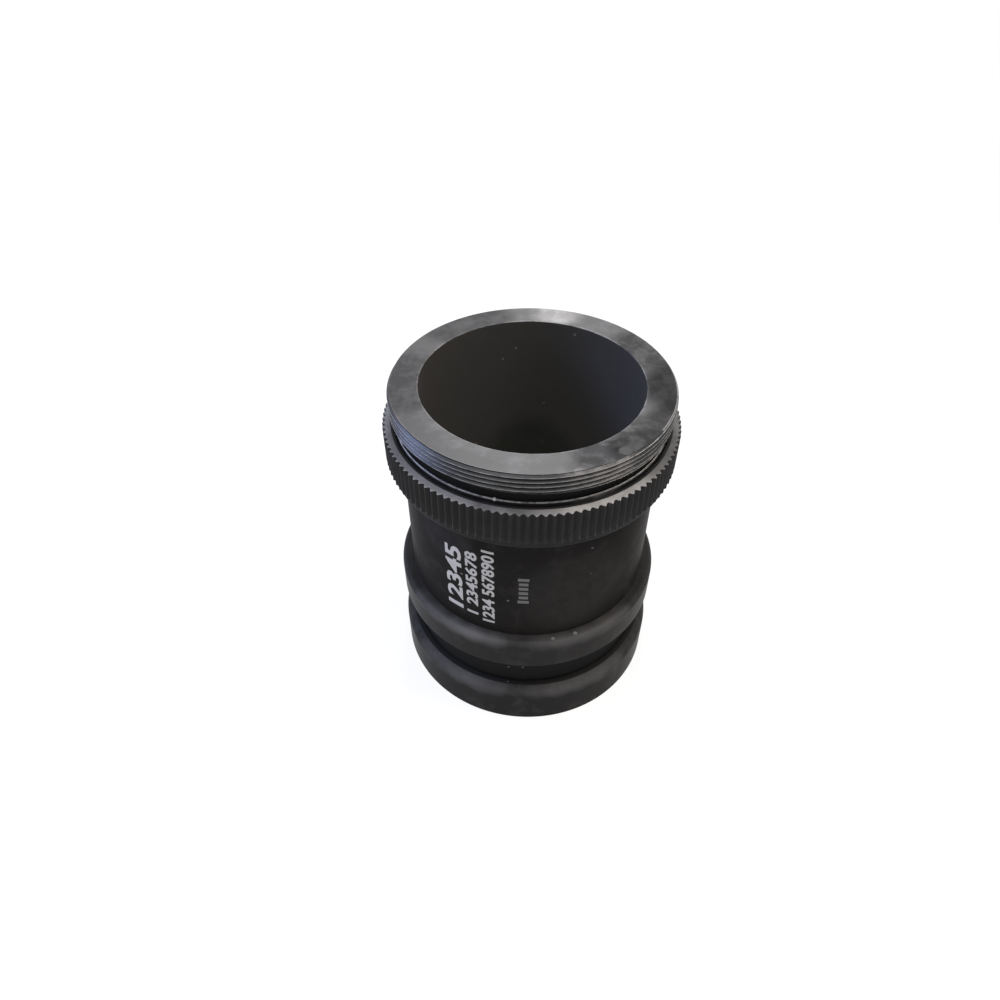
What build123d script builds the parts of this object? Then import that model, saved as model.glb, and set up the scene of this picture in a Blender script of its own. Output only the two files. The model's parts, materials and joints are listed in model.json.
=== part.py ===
from build123d import *

import os
from math import cos, pi, sin

# Camera adapter tube for a spotting telescope, standing on its telescope end.
# All sizes are in millimetres. +Z is the optical axis and points to the camera.

os.makedirs("parts", exist_ok=True)

# Clearances between pieces
turn_gap = 0.05        # radial, between a turning ring and the round that it runs on
face_gap = 0.05        # axial, between faces that turn on each other
loose_gap = 0.20       # radial, round a piece that only has to pass
seat_gap = 0.03        # radial, round a piece that stays put in its bore
joint_gap = 0.10       # axial, between the nose's stem and the step below it

# Camera thread, M42 x 0.75, with its relief groove
thread_d = 42.0        # over the crests
thread_length = 3.2
thread_lead_in = 0.35
relief_depth = 1.1
relief_width = 1.9

# The nose behind the thread: bore wall, land, clamped flange and stem
nose_wall = 4.5        # from the thread's crests in to the light bore
land_step = 0.45       # from the relief's floor out to the land
land_rise = 0.6        # how far the land stands above the grip ring
land_chamfer = 0.2
nose_flange_step = 0.65
nose_flange_thickness = 1.15
nose_flange_gap = 0.15  # radial, from the nose's flange to the grip ring's bore
stem_wall = 1.7
stem_length = 20.5

# Grip ring with its V teeth
grip_lip = 1.0         # the lip that holds the nose's flange down
grip_rim = 0.8         # plain rim below the teeth
grip_wall = 0.6        # behind the roots of the teeth
tooth_count = 120
tooth_depth = 0.45

# Friction washer under the nose's flange
washer_thickness = 0.3
washer_margin = 0.25

# Barrel with the clamp thread's collar at its upper end
barrel_wall = 1.55     # outside the bore that takes the nose's stem
barrel_panel = 22.2    # plain length between the flange and the grip ring
collar_length = 3.55
collar_setback = 0.4   # how far the collar starts inside the grip ring
flange_step = 1.95
flange_height = 5.7
flange_chamfer = 0.6
flange_lower_chamfer = 0.3
groove_width = 6.7     # the open groove between the flange and the coupling ring

# Snap ring that holds the coupling ring, and the barrel's foot below it
snap_thickness = 0.8
snap_groove_depth = 0.65
snap_proud = 0.6       # how far it stands out of the barrel
snap_opening = 5.0
foot_land = 1.0        # solid length of the foot below the snap ring

# Coupling ring at the telescope end, with its internal port thread
port_thread_depth = 4.8
port_lead_in = 0.4
port_relief = 0.3      # radial, of the run-out above the thread
coupling_wall = 1.2    # outside the run-out
coupling_lip = 1.35    # the lip that rests on the snap ring
coupling_round = 2.0
coupling_foot_chamfer = 0.3

# Baffle and its retainer in the lower bore
baffle_step = 0.6      # from the light bore out to the baffle's bore
baffle_depth = 7.0     # from the barrel's foot up to that step
baffle_thickness = 1.0
baffle_overhang = 2.0  # how far the baffle reaches in from the light bore
retainer_height = 2.2
retainer_wall = 1.5
retainer_slot = 1.6
retainer_slot_depth = 0.9

# Seat gasket in a rabbet in the barrel's foot
gasket_width = 1.3
gasket_thickness = 0.6
gasket_proud = 0.2

# Radii, from the camera thread inwards and then out to the rings
thread_r = thread_d / 2
light_bore_r = thread_r - nose_wall
relief_r = thread_r - relief_depth
land_r = relief_r + land_step
nose_flange_r = land_r + nose_flange_step
stem_r = light_bore_r + stem_wall
stem_bore_r = stem_r + turn_gap
washer_r = nose_flange_r - washer_margin
grip_lip_r = land_r + loose_gap
grip_bore_r = nose_flange_r + nose_flange_gap
grip_root_r = grip_bore_r + grip_wall
grip_tip_r = grip_root_r + tooth_depth
collar_r = grip_bore_r - turn_gap
barrel_r = stem_bore_r + barrel_wall
flange_r = barrel_r + flange_step
snap_groove_r = barrel_r - snap_groove_depth
snap_inner_r = snap_groove_r + seat_gap
snap_outer_r = barrel_r + snap_proud
port_thread_r = snap_outer_r + loose_gap
port_relief_r = port_thread_r + port_relief
coupling_r = port_relief_r + coupling_wall
coupling_lip_r = barrel_r + turn_gap
baffle_bore_r = light_bore_r + baffle_step
baffle_r = baffle_bore_r - seat_gap
aperture_r = light_bore_r - baffle_overhang
gasket_r = baffle_bore_r + gasket_width
rabbet_r = gasket_r + seat_gap

# Heights, from the face that the adapter stands on
gasket_z = port_thread_depth
gasket_top_z = gasket_z + gasket_thickness
foot_z = gasket_z + gasket_proud
snap_z = foot_z + foot_land
snap_top_z = snap_z + snap_thickness
coupling_lip_z = snap_top_z + face_gap
coupling_top_z = coupling_lip_z + coupling_lip
flange_z = coupling_top_z + groove_width
flange_top_z = flange_z + flange_height
grip_z = flange_top_z + barrel_panel
teeth_z = grip_z + grip_rim
collar_z = grip_z + collar_setback
barrel_top_z = collar_z + collar_length
washer_top_z = barrel_top_z + washer_thickness
nose_flange_z = washer_top_z + face_gap
nose_flange_top_z = nose_flange_z + nose_flange_thickness
grip_lip_z = nose_flange_top_z + face_gap
grip_top_z = grip_lip_z + grip_lip
land_top_z = grip_top_z + land_rise
thread_z = land_top_z + relief_width
top_z = thread_z + thread_length
stem_z = nose_flange_z - stem_length
stem_step_z = stem_z - joint_gap
baffle_step_z = foot_z + baffle_depth
baffle_z = baffle_step_z - baffle_thickness
retainer_z = baffle_z - retainer_height


def round_edge(part, radius, height):
    """Return the circular edge of this radius that lies at this height."""
    circles = part.edges().filter_by(GeomType.CIRCLE)
    return min(circles, key=lambda e: abs(e.radius - radius) + abs(e.center().Z - height))


# Nose: camera thread, relief, land, the flange that the grip ring clamps, and the stem
with BuildPart() as camera_nose:
    with BuildSketch(Plane.XZ):
        with BuildLine():
            Polyline(
                (light_bore_r, stem_z),
                (stem_r, stem_z),
                (stem_r, nose_flange_z),
                (nose_flange_r, nose_flange_z),
                (nose_flange_r, nose_flange_top_z),
                (land_r, nose_flange_top_z),
                (land_r, land_top_z),
                (relief_r, land_top_z),
                (relief_r, thread_z),
                (thread_r, thread_z),
                (thread_r, top_z),
                (light_bore_r, top_z),
                close=True,
            )
        make_face()
    revolve(axis=Axis.Z)
    chamfer(round_edge(camera_nose.part, thread_r, top_z), thread_lead_in)
    chamfer(round_edge(camera_nose.part, land_r, land_top_z), land_chamfer)
camera_nose.part.label = "camera_nose"

# Grip ring: a plain clamp nut, with the serrated band standing on its rim
tooth_angle = 2 * pi / tooth_count
tooth_outline = []
for tooth in range(tooth_count):
    tip_angle = tooth * tooth_angle
    root_angle = tip_angle + tooth_angle / 2
    tooth_outline.append((grip_tip_r * cos(tip_angle), grip_tip_r * sin(tip_angle)))
    tooth_outline.append((grip_root_r * cos(root_angle), grip_root_r * sin(root_angle)))

with BuildPart() as grip_ring:
    with BuildSketch(Plane.XY.offset(grip_z)):
        Circle(grip_root_r * cos(tooth_angle / 2))
    extrude(amount=grip_rim)
    with BuildSketch(Plane.XY.offset(teeth_z)):
        with BuildLine():
            Polyline(*tooth_outline, close=True)
        make_face()
    extrude(amount=grip_top_z - teeth_z)
    with BuildSketch(Plane.XY.offset(grip_z)):
        Circle(grip_bore_r)
    extrude(amount=grip_lip_z - grip_z, mode=Mode.SUBTRACT)
    with BuildSketch(Plane.XY.offset(grip_lip_z)):
        Circle(grip_lip_r)
    extrude(amount=grip_lip, mode=Mode.SUBTRACT)
grip_ring.part.label = "grip_ring"

# Friction washer, flat between the barrel's mouth and the nose's flange
with BuildPart() as friction_washer:
    with BuildSketch(Plane.XY.offset(barrel_top_z)):
        Circle(washer_r)
        Circle(stem_bore_r, mode=Mode.SUBTRACT)
    extrude(amount=washer_thickness)
friction_washer.part.label = "friction_washer"

# Barrel: clamp collar, print panel, flange, neck, snap-ring groove, foot and stepped bore
with BuildPart() as barrel:
    with BuildSketch(Plane.XZ):
        with BuildLine():
            Polyline(
                (baffle_bore_r, gasket_top_z),
                (rabbet_r, gasket_top_z),
                (rabbet_r, foot_z),
                (barrel_r, foot_z),
                (barrel_r, snap_z),
                (snap_groove_r, snap_z),
                (snap_groove_r, snap_top_z),
                (barrel_r, snap_top_z),
                (barrel_r, flange_z),
                (flange_r, flange_z),
                (flange_r, flange_top_z),
                (barrel_r, flange_top_z),
                (barrel_r, collar_z),
                (collar_r, collar_z),
                (collar_r, barrel_top_z),
                (stem_bore_r, barrel_top_z),
                (stem_bore_r, stem_step_z),
                (light_bore_r, stem_step_z),
                (light_bore_r, baffle_step_z),
                (baffle_bore_r, baffle_step_z),
                close=True,
            )
        make_face()
    revolve(axis=Axis.Z)
    chamfer(round_edge(barrel.part, flange_r, flange_top_z), flange_chamfer)
    chamfer(round_edge(barrel.part, flange_r, flange_z), flange_lower_chamfer)
barrel.part.label = "barrel"

# Baffle: a flat ring whose aperture narrows to a knife edge towards the camera
with BuildPart() as baffle_ring:
    with BuildSketch(Plane.XZ):
        with BuildLine():
            Polyline(
                (aperture_r + baffle_thickness, baffle_z),
                (baffle_r, baffle_z),
                (baffle_r, baffle_step_z),
                (aperture_r, baffle_step_z),
                close=True,
            )
        make_face()
    revolve(axis=Axis.Z)
baffle_ring.part.label = "baffle_ring"

# Retainer: a threaded ring under the baffle, with two slots for a spanner
with BuildPart() as baffle_retainer:
    with BuildSketch(Plane.XY.offset(retainer_z)):
        Circle(baffle_r)
        Circle(baffle_r - retainer_wall, mode=Mode.SUBTRACT)
    extrude(amount=retainer_height)
    with BuildSketch(Plane.XY.offset(retainer_z)):
        Rectangle(2 * baffle_bore_r, retainer_slot)
    extrude(amount=retainer_slot_depth, mode=Mode.SUBTRACT)
baffle_retainer.part.label = "baffle_retainer"

# Seat gasket in the foot's rabbet, standing a little proud of the foot
with BuildPart() as seat_gasket:
    with BuildSketch(Plane.XY.offset(gasket_z)):
        Circle(gasket_r)
        Circle(baffle_bore_r, mode=Mode.SUBTRACT)
    extrude(amount=gasket_thickness)
seat_gasket.part.label = "seat_gasket"

# Snap ring: an open spring ring in the barrel's groove, under the coupling ring's lip
with BuildPart() as snap_ring:
    with BuildSketch(Plane.XY.offset(snap_z)):
        Circle(snap_outer_r)
        Circle(snap_inner_r, mode=Mode.SUBTRACT)
        with Locations((snap_outer_r, 0)):
            Rectangle(2 * (snap_outer_r - snap_inner_r) + snap_opening, snap_opening, mode=Mode.SUBTRACT)
    extrude(amount=snap_thickness)
snap_ring.part.label = "snap_ring"

# Coupling ring: full round upper edge, internal port thread, lip that rests on the snap ring
with BuildPart() as coupling_ring:
    with BuildSketch(Plane.XZ):
        with BuildLine():
            Polyline(
                (port_thread_r + port_lead_in, 0),
                (coupling_r, 0),
                (coupling_r, coupling_top_z),
                (coupling_lip_r, coupling_top_z),
                (coupling_lip_r, coupling_lip_z),
                (port_relief_r, coupling_lip_z),
                (port_relief_r, port_thread_depth),
                (port_thread_r, port_thread_depth),
                (port_thread_r, port_lead_in),
                close=True,
            )
        make_face()
    revolve(axis=Axis.Z)
    fillet(round_edge(coupling_ring.part, coupling_r, coupling_top_z), coupling_round)
    chamfer(round_edge(coupling_ring.part, coupling_r, 0), coupling_foot_chamfer)
coupling_ring.part.label = "coupling_ring"

export_step(camera_nose.part, "parts/camera_nose.step")
export_step(grip_ring.part, "parts/grip_ring.step")
export_step(friction_washer.part, "parts/friction_washer.step")
export_step(barrel.part, "parts/barrel.step")
export_step(baffle_ring.part, "parts/baffle_ring.step")
export_step(baffle_retainer.part, "parts/baffle_retainer.step")
export_step(seat_gasket.part, "parts/seat_gasket.step")
export_step(snap_ring.part, "parts/snap_ring.step")
export_step(coupling_ring.part, "parts/coupling_ring.step")
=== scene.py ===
"""Looks of the telescope camera adapter: turned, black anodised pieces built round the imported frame."""

import json
import logging
import math
from collections.abc import Iterable, Sequence
from dataclasses import dataclass, field, replace
from enum import Enum

import bmesh
import bpy
import numpy as np
from mathutils import Matrix, Vector


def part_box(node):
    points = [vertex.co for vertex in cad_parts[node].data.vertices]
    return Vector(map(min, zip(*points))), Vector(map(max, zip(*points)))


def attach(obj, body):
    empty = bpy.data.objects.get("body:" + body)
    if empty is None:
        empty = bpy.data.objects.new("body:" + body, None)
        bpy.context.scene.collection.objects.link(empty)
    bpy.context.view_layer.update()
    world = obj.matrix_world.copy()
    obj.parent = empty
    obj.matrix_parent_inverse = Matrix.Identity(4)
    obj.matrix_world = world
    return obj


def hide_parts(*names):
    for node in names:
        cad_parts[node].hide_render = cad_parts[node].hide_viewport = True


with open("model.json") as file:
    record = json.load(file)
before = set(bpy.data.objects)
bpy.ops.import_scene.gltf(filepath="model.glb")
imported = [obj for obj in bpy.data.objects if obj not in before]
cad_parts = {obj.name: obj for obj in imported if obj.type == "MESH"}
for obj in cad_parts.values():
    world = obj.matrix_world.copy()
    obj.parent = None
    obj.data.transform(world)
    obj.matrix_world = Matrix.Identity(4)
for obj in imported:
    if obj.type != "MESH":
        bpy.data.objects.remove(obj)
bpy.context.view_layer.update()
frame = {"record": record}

Piece = bpy.types.Object
Socket = bpy.types.NodeSocket
Triple = tuple[float, float, float]
Colour = Triple  # linear red, green and blue

LOG = logging.getLogger("adapter")
MM = 0.001
TURN = 2 * math.pi

AROUND = 384  # walls of a turned piece round the optical axis
AROUND_INNER = 256  # the same for the pieces inside
EDGE_ATTRIBUTE = "edge"  # 1 along an outer edge, 0 on the flats
TOP_ATTRIBUTE = "top_face"  # 1 on the walls of the grip ring's upper face
FLAT_SUPPORT = 0.05  # mm from a rounded corner to the ring that keeps the flat beside it flat
TIP_SUPPORT = 3  # how many times further inward that ring lies at a thread's end
BROAD_ROUND = 0.5  # mm, a round from this radius up wears along its middle only
SHELTERED = 0.72  # share of such a round from which it takes the next wall's finish
WELD = 2e-7  # m, below which two points are one
SEAM_WELD = WELD * 5  # m, the same between one sector of a ring and the next
SMOOTH_ANGLE = math.radians(40)


class Slot(Enum):
    """The record's material slots."""

    ANODISED = "black_anodised"
    MATT = "matt_black"
    WASHER = "washer_plastic"
    SPRING = "spring_steel"
    RUBBER = "gasket_rubber"


class Face(Enum):
    """Which of a piece's finishes a wall takes."""

    OUTER = 0
    INNER = 1
    GROOVE = 2
    TOP = 3


class Hand(Enum):
    """Which way a thread's crests stand out of their cylinder."""

    MALE = 1
    FEMALE = -1


# The frame's sizes, in millimetres


def node_heights(node: str) -> tuple[float, float]:
    """Return where a CAD node starts and ends along the optical axis."""
    low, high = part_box(node)
    return low.z / MM, high.z / MM


def node_radius(node: str) -> float:
    """Return the outer radius of a CAD node."""
    low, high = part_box(node)
    return (high.y - low.y) / 2 / MM


def mount_radius(name: str) -> float:
    """Return the stated radius of one of the record's mounts."""
    mounts = {mount["name"]: mount for mount in frame["record"]["mounts"]}
    return float(mounts[name]["dims"]["r_mm"])


# Plain meshes


def linked(name: str, data: bpy.types.ID) -> Piece:
    """Make an object of some data and link it to the scene.

    Args:
        name: Name of the object.
        data: Its mesh, curve, lamp or camera.

    Returns:
        The object.
    """
    made = bpy.data.objects.new(name, data)
    bpy.context.scene.collection.objects.link(made)
    return made


def written(work: bmesh.types.BMesh, mesh: bpy.types.Mesh) -> bpy.types.Mesh:
    """Write a mesh from its working form.

    Args:
        work: The working form, which is freed.
        mesh: The mesh to write to.

    Returns:
        The mesh.
    """
    work.to_mesh(mesh)
    work.free()
    return mesh


def smoothed(mesh: bpy.types.Mesh) -> bpy.types.Mesh:
    """Shade a mesh smooth up to its sharp edges.

    Args:
        mesh: The mesh.

    Returns:
        The same mesh.
    """
    mesh.shade_smooth()
    mesh.set_sharp_from_angle(angle=SMOOTH_ANGLE)
    return mesh


def plain_copy(source: Piece, name: str) -> Piece:
    """Turn an object with modifiers into a plain mesh object.

    Args:
        source: The object, which is removed with its modifiers.
        name: Name of the new object.

    Returns:
        The new object.
    """
    bpy.context.view_layer.update()
    depsgraph = bpy.context.evaluated_depsgraph_get()
    mesh = bpy.data.meshes.new_from_object(
        source.evaluated_get(depsgraph), preserve_all_data_layers=True, depsgraph=depsgraph
    )
    bpy.data.objects.remove(source)
    mesh.name = name
    return linked(name, smoothed(mesh))


def box_mesh(name: str, size: Triple, height: float) -> Piece:
    """Make a box on the optical axis, in millimetres.

    Args:
        name: Name of the box.
        size: Its sides.
        height: Height of its centre.

    Returns:
        The box.
    """
    work = bmesh.new()
    scale = Matrix.Diagonal((*(side * MM for side in size), 1.0))
    bmesh.ops.create_cube(work, size=1.0, matrix=Matrix.Translation((0, 0, height * MM)) @ scale)
    return linked(name, written(work, bpy.data.meshes.new(name)))


def closed_mesh(name: str, points: np.ndarray, walls: Sequence[tuple[int, ...]], faces: Sequence[int],
                edges: np.ndarray, weld: bool = True) -> Piece:
    """Make a mesh object from points and walls.

    Args:
        name: Name of the object.
        points: Its points, in metres.
        walls: Its walls, as indices of points.
        faces: The value of each wall's Face.
        edges: How much of an outer edge each point is.
        weld: Whether doubles are merged and the walls turned outwards.

    Returns:
        The object, linked to the scene.
    """
    mesh = bpy.data.meshes.new(name)
    mesh.from_pydata(points.tolist(), [], walls)
    mesh.polygons.foreach_set("material_index", np.asarray(faces, dtype=np.int32))
    attribute = mesh.attributes.new(EDGE_ATTRIBUTE, "FLOAT", "POINT")
    attribute.data.foreach_set("value", np.asarray(edges, dtype=np.float32))
    if weld:
        work = bmesh.new()
        work.from_mesh(mesh)
        bmesh.ops.remove_doubles(work, verts=work.verts, dist=WELD)
        bmesh.ops.dissolve_degenerate(work, edges=work.edges, dist=WELD)
        bmesh.ops.recalc_face_normals(work, faces=work.faces)
        written(work, mesh)
    mesh.validate()
    return linked(name, smoothed(mesh))


# Turned sections, in millimetres


@dataclass(frozen=True)
class Corner:
    """One corner of a turned section."""

    radius: float  # distance from the optical axis
    height: float  # height above the face that the adapter stands on
    blend: float = 0.0  # radius of the round at this corner, 0 for a sharp one
    steps: int = 3  # how many facets the round has
    face: Face = Face.OUTER  # finish of the wall that leaves this corner
    thread: "Thread | None" = None  # the thread that stands in for that wall


@dataclass(frozen=True)
class Ring:
    """One ring of a turned mesh: its radius and height at each step round the axis."""

    radius: np.ndarray
    height: np.ndarray
    edge: float | np.ndarray = 0.0  # how much of an outer edge it is, everywhere or at each step
    face: Face = Face.OUTER  # finish of the wall up to the next ring


@dataclass(frozen=True)
class Thread:
    """A single-start V thread with a lead-in at its ends."""

    crest_radius: float
    start: float  # height where it starts
    end: float  # height where it ends
    hand: Hand
    pitch: float = 0.75
    depth: float = 0.42  # radial height of a crest
    lead_start: float = 0.12  # lead-in at the start
    lead_end: float = 0.35  # lead-in at the end

    # Half of the ridge, from the middle of the crest to the middle of the root, as shares
    # of the pitch and of the depth. The corners are a little rounded.
    RIDGE_PHASE = (0.0, 0.042, 0.085, 0.355, 0.40, 0.5)
    RIDGE_DROP = (0.0, 0.015, 0.10, 0.94, 1.0, 1.0)
    # The part of the pitch, from crest to crest, that takes Face.GROOVE; on the nose these walls are
    # painted with shade.
    SHADED = (0.30, 0.93)

    def phases(self) -> list[float]:
        """Return where the rings that trace one ridge lie on it, as rising shares of the pitch."""
        half = self.RIDGE_PHASE
        return [*half[:-1], *(1 - share for share in reversed(half[1:]))]

    def radius_at(self, height: np.ndarray, around: np.ndarray) -> np.ndarray:
        """Work out the thread's radius.

        Args:
            height: Heights on the thread.
            around: Angles round the axis at those heights, as shares of a turn.

        Returns:
            The radius at each of those points.
        """
        phase = ((height - self.start) / self.pitch - around) % 1.0
        off_crest = np.minimum(phase, 1.0 - phase)
        drop = self.depth * np.interp(off_crest, self.RIDGE_PHASE, self.RIDGE_DROP)
        lead = np.maximum(self.lead_start - (height - self.start), 0.0)
        lead = np.maximum(lead, self.lead_end - (self.end - height))
        return self.crest_radius - self.hand.value * np.maximum(drop, lead)

    def far_tip(self, near: float) -> Vector:
        """Find the section's point at one end of the thread.

        Args:
            near: A height at or near its other end.

        Returns:
            The point's radius and height.
        """
        from_start = abs(near - self.start) < abs(near - self.end)
        lead, height = (self.lead_end, self.end) if from_start else (self.lead_start, self.start)
        return Vector((self.crest_radius - self.hand.value * lead, height))

    def rings(self, segments: int) -> list[Ring]:
        """Make the rings that follow the ridges up the helix.

        Args:
            segments: Steps round the axis.

        Returns:
            Rings from the thread's start to its end. Past an end they lie flat on it.
        """
        around = np.arange(segments) / segments
        rings = []
        for turn in range(math.ceil((self.end - self.start) / self.pitch) + 2):
            for phase in self.phases():
                height = self.start + self.pitch * (turn - 1 + phase + around)
                height = np.clip(height, self.start, self.end)
                crest = 1.0 if min(phase, 1 - phase) < self.RIDGE_PHASE[2] else 0.0
                crest = np.where((height > self.start) & (height < self.end), crest, 1.0)
                face = Face.GROOVE if self.SHADED[0] < phase < self.SHADED[1] else Face.OUTER
                rings.append(Ring(self.radius_at(height, around), height, crest, face))
        return rings


def rounded_corner(before: Vector, corner: Corner, after: Vector, came: Face, outer: float) -> list[tuple]:
    """Round one corner of a section.

    Args:
        before: The section's point ahead of the corner.
        corner: The corner.
        after: The section's next point.
        came: Finish of the wall that comes to the corner.
        outer: 1 where the corner is an outer edge, 0 where it is an inner one.

    Returns:
        The point, edge and finish of each ring that the corner becomes.
    """
    here = Vector((corner.radius, corner.height))
    if corner.blend <= 0:
        return [(here, 0.0, corner.face)]
    to_before, to_after = (before - here).normalized(), (after - here).normalized()
    half = to_before.angle(to_after) / 2
    reach = corner.blend / math.tan(half)
    centre = here + (to_before + to_after).normalized() * (corner.blend / math.sin(half))
    first, last = here + to_before * reach - centre, here + to_after * reach - centre
    broad = corner.blend >= BROAD_ROUND
    points = [(here + to_before * (reach + FLAT_SUPPORT), 0.0, came)]
    for step in range(corner.steps + 1):
        share = step / corner.steps
        face = came if share < (SHELTERED if broad else 1.0) else corner.face
        worn = outer * math.sin(math.pi * share) if broad else outer
        points.append((centre + first.slerp(last, share) * corner.blend, worn, face))
    points.append((here + to_after * (reach + FLAT_SUPPORT), 0.0, corner.face))
    return points


@dataclass
class TurnedMesh:
    """A closed mesh of rings round the optical axis."""

    name: str
    segments: int = AROUND  # steps round the axis
    opening: float = 0.0  # angle left open about +X, 0 for a full turn
    rings: list[Ring] = field(default_factory=list)
    threads: list[tuple[int, int, int]] = field(default_factory=list)  # first, last ring and rows per turn

    def section(self, corners: Sequence[Corner]) -> "TurnedMesh":
        """Add the rings of a closed section, with its corners rounded and its threads cut.

        Args:
            corners: The section's corners, in order.

        Returns:
            This mesh.
        """
        points = [Vector((corner.radius, corner.height)) for corner in corners]
        following = points[1:] + points[:1]
        area = sum(here.cross(after) for here, after in zip(points, following))
        flat = np.ones(self.segments)
        for index, corner in enumerate(corners):
            last = corners[index - 1]
            before, here, after = points[index - 1], points[index], following[index]
            before = last.thread.far_tip(last.height) if last.thread else before
            outer = 1.0 if (here - before).cross(after - here) * area > 0 else 0.0
            for point, edge, face in rounded_corner(before, corner, after, last.face, outer):
                self.rings.append(Ring(flat * point.x, flat * point.y, edge, face))
            if corner.thread is not None:
                self._cut(corner.thread, corner.height)
                tip = corner.thread.far_tip(corner.height)
                inward = tip + (after - tip).normalized() * FLAT_SUPPORT * TIP_SUPPORT
                self.rings[-1] = replace(self.rings[-1], face=corner.face)
                self.rings.append(Ring(flat * inward.x, flat * inward.y, 0.0, corner.face))
        return self

    def _cut(self, thread: Thread, here: float) -> None:
        """Add a thread's rings, from whichever of its ends is the nearer.

        Args:
            thread: The thread.
            here: Height of the corner that it leaves.
        """
        rings, step = thread.rings(self.segments), len(thread.phases())
        if abs(here - thread.end) < abs(here - thread.start):
            rings, step = rings[::-1], -step
        self.threads.append((len(self.rings), len(self.rings) + len(rings) - 1, step))
        self.rings += rings

    def _walls(self) -> Iterable[tuple[tuple[int, ...], int]]:
        """Go round all walls.

        Yields:
            The points of each wall and the value of its Face.
        """
        count, around = len(self.rings), self.segments
        threaded = {row for first, last, _ in self.threads for row in range(first, last)}
        for row in range(count):
            face, here, after = self.rings[row].face.value, row * around, (row + 1) % count * around
            for column in range(around - 1):
                yield (here + column, here + column + 1, after + column + 1, after + column), face
            if row not in threaded and not self.opening:
                yield (here + around - 1, here, after, after + around - 1), face
        for first, last, step in self.threads:
            for row in range(first - abs(step), last + abs(step)):
                low, high, low_next, high_next = (
                    min(max(index, first), last) * around
                    for index in (row, row + 1, row + step, row + 1 + step)
                )
                face = self.rings[low // around].face.value
                yield (low + around - 1, low_next, high_next, high + around - 1), face
        if self.opening:
            yield tuple(row * around for row in range(count)), 0
            yield tuple(row * around + around - 1 for row in reversed(range(count))), 0

    def build(self) -> Piece:
        """Make the mesh, with its seams and ends closed and its walls facing out.

        Returns:
            The piece.
        """
        steps = self.segments - 1 if self.opening else self.segments
        angles = self.opening / 2 + (TURN - self.opening) * np.arange(self.segments) / steps
        turned = np.tile(angles, len(self.rings))
        radius = np.concatenate([ring.radius for ring in self.rings])
        height = np.concatenate([ring.height for ring in self.rings])
        edges = np.concatenate([np.broadcast_to(ring.edge, self.segments) for ring in self.rings])
        points = np.stack([radius * np.cos(turned), radius * np.sin(turned), height], 1) * MM
        walls, faces = zip(*self._walls())
        return closed_mesh(self.name, points, walls, faces, edges)


def plain_ring(node: str, inside: float, bevels: tuple[float, float], opening: float = 0.0) -> Piece:
    """Turn a ring of rectangular section as large as its CAD node.

    Args:
        node: Name of the CAD node.
        inside: Radius inside the ring.
        bevels: Rounds of its inner and its outer edges.
        opening: Width of the gap in it, 0 for a whole ring.

    Returns:
        The ring.
    """
    outside, (bottom, top), (inner, outer) = node_radius(node), node_heights(node), bevels
    return TurnedMesh(f"{node}_piece", AROUND_INNER, opening / outside).section([
        Corner(inside, bottom, inner),
        Corner(outside, bottom, outer),
        Corner(outside, top, outer),
        Corner(inside, top, inner),
    ]).build()


# Nodes


class NodeDesk:
    """Short ways to add nodes to one tree."""

    def __init__(self, tree: bpy.types.NodeTree) -> None:
        """Work on a tree."""
        self.tree = tree

    def join(self, source: object, socket: Socket) -> None:
        """Link a socket, or set a plain value, on an input.

        Args:
            source: The socket or the value. A colour gets its alpha here.
            socket: The input.
        """
        if isinstance(source, Socket):
            self.tree.links.new(source, socket)
        else:
            socket.default_value = (*source, 1.0) if socket.type == "RGBA" else source

    def fill(self, node: bpy.types.Node, inputs: dict[str | int, object]) -> bpy.types.Node:
        """Join several inputs of a node.

        Args:
            node: The node.
            inputs: Sockets or plain values, by the names or places of the inputs.

        Returns:
            The node.
        """
        for key, source in inputs.items():
            self.join(source, node.inputs[key])
        return node

    def add(self, kind: str, inputs: dict[str | int, object] | None = None,
            **settings: object) -> bpy.types.Node:
        """Add a node.

        Args:
            kind: Its type.
            inputs: What to join to its inputs, as in fill.
            settings: Values of its properties.

        Returns:
            The node.
        """
        node = self.tree.nodes.new(kind)
        for name, value in settings.items():
            setattr(node, name, value)
        return self.fill(node, inputs or {})

    def math(self, operation: str, *values: object, clamp: bool = False) -> Socket:
        """Add a Math node."""
        inputs = dict(enumerate(values))
        return self.add("ShaderNodeMath", inputs, operation=operation, use_clamp=clamp).outputs[0]

    def measure(self, operation: str, *vectors: object) -> Socket:
        """Add a Vector Math node that gives a length."""
        inputs = dict(enumerate(vectors))
        return self.add("ShaderNodeVectorMath", inputs, operation=operation).outputs["Value"]

    def point(self, x: object = 0.0, y: object = 0.0, z: object = 0.0) -> Socket:
        """Put three values together to a vector."""
        return self.add("ShaderNodeCombineXYZ", {"X": x, "Y": y, "Z": z}).outputs[0]

    def parts(self, vector: Socket) -> tuple[Socket, ...]:
        """Take a vector apart."""
        return tuple(self.add("ShaderNodeSeparateXYZ", {0: vector}).outputs)

    def remap(self, value: object, low: float, high: float, to_low: float = 0.0,
              to_high: float = 1.0) -> Socket:
        """Map a value smoothly from one range to another, clamped."""
        inputs = {"Value": value, "From Min": low, "From Max": high, "To Min": to_low, "To Max": to_high}
        return self.add("ShaderNodeMapRange", inputs, interpolation_type="SMOOTHSTEP").outputs["Result"]

    def noise(self, place: object, scale: object, detail: float, roughness: float) -> Socket:
        """Add a noise texture and return its value."""
        inputs = {"Vector": place, "Scale": scale, "Detail": detail, "Roughness": roughness}
        return self.add("ShaderNodeTexNoise", inputs).outputs["Fac"]

    def mix_colour(self, share: object, first: object, second: object) -> Socket:
        """Mix two colours."""
        inputs = {"Factor": share, "A": first, "B": second}
        return self.add("ShaderNodeMix", inputs, data_type="RGBA").outputs["Result"]


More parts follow.
